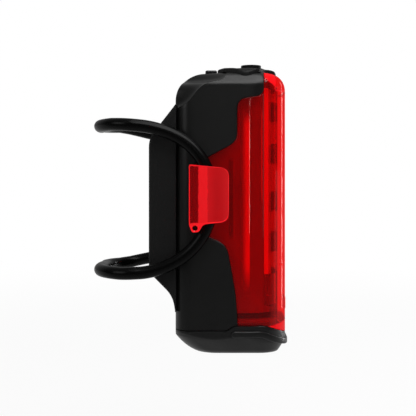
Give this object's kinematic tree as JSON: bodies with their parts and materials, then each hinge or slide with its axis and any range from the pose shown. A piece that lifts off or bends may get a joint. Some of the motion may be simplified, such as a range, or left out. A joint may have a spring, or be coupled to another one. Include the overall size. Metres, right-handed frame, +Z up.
{
  "type": "bicycle rear light",
  "caption": "Bicycle rear light: clear red lens housing in a black shell, rubber seatpost pad, ring strap on side hooks, top button and pull-off end cap.",
  "frame": {"origin": "on the seatpost's axis, at the middle of the pad's saddle", "axes": "+Z up along the seatpost, +X to the rear of the bike, where the lens faces, +Y across the bike"},
  "size_m": [0.0513, 0.0372, 0.0757],
  "materials": {
    "red_lens": "clear red polycarbonate, polished",
    "black_shell": "black soft-touch moulding",
    "pad_rubber": "black moulded rubber",
    "strap_rubber": "smooth black rubber cord",
    "cap_black": "black moulding, satin",
    "surround_silicone": "black silicone",
    "button_silicone": "black silicone",
    "indicator_smoke": "smoked light window",
    "chassis_white": "white moulding",
    "seal_rubber": "black rubber",
    "screw_steel": "plated steel",
    "cell_sleeve": "shrink sleeve over a metal can",
    "tab_nickel": "nickel strip",
    "board_green": "solder resist",
    "chip_black": "moulded packages",
    "pin_brass": "gold-plated pins",
    "board_white": "white solder resist",
    "led_package": "moulded emitter package",
    "led_clear": "clear resin",
    "socket_steel": "stamped steel",
    "tongue_black": "moulded insulator",
    "switch_black": "moulded switch body",
    "plunger_grey": "moulded plunger"
  },
  "bodies": {
    "casing": {"lens_housing": "red_lens", "body_shell": "black_shell", "seatpost_pad": "pad_rubber", "button_surround": "surround_silicone", "indicator_window": "indicator_smoke", "chassis": "chassis_white", "seal_ring": "seal_rubber", "chassis_screws": "screw_steel", "battery_cell": "cell_sleeve", "battery_tabs": "tab_nickel", "main_board": "board_green", "board_components": "chip_black", "board_header": "pin_brass", "led_board": "board_white", "led_emitters": "led_package", "led_resin": "led_clear", "usb_socket": "socket_steel", "usb_tongue": "tongue_black", "switch_body": "switch_black"},
    "button": {"power_button": "button_silicone", "switch_plunger": "plunger_grey"},
    "cap": {"end_cap": "cap_black"},
    "strap": {"strap_ring": "strap_rubber"}
  },
  "joints": [
    {"name": "button_press", "type": "slide", "parent": "casing", "child": "button", "axis": [0, 0, -1], "range_m": [0, 0.0006], "stiffness_N_per_m": 1500},
    {"name": "cap_pull", "type": "slide", "parent": "casing", "child": "cap", "axis": [0, 0, -1], "range_m": [0, 0.012]},
    {"name": "strap_stretch", "type": "slide", "parent": "casing", "child": "strap", "axis": [-1, 0, 0], "range_m": [0, 0.02], "stiffness_N_per_m": 300, "deforming": ["strap_ring"]}
  ]
}
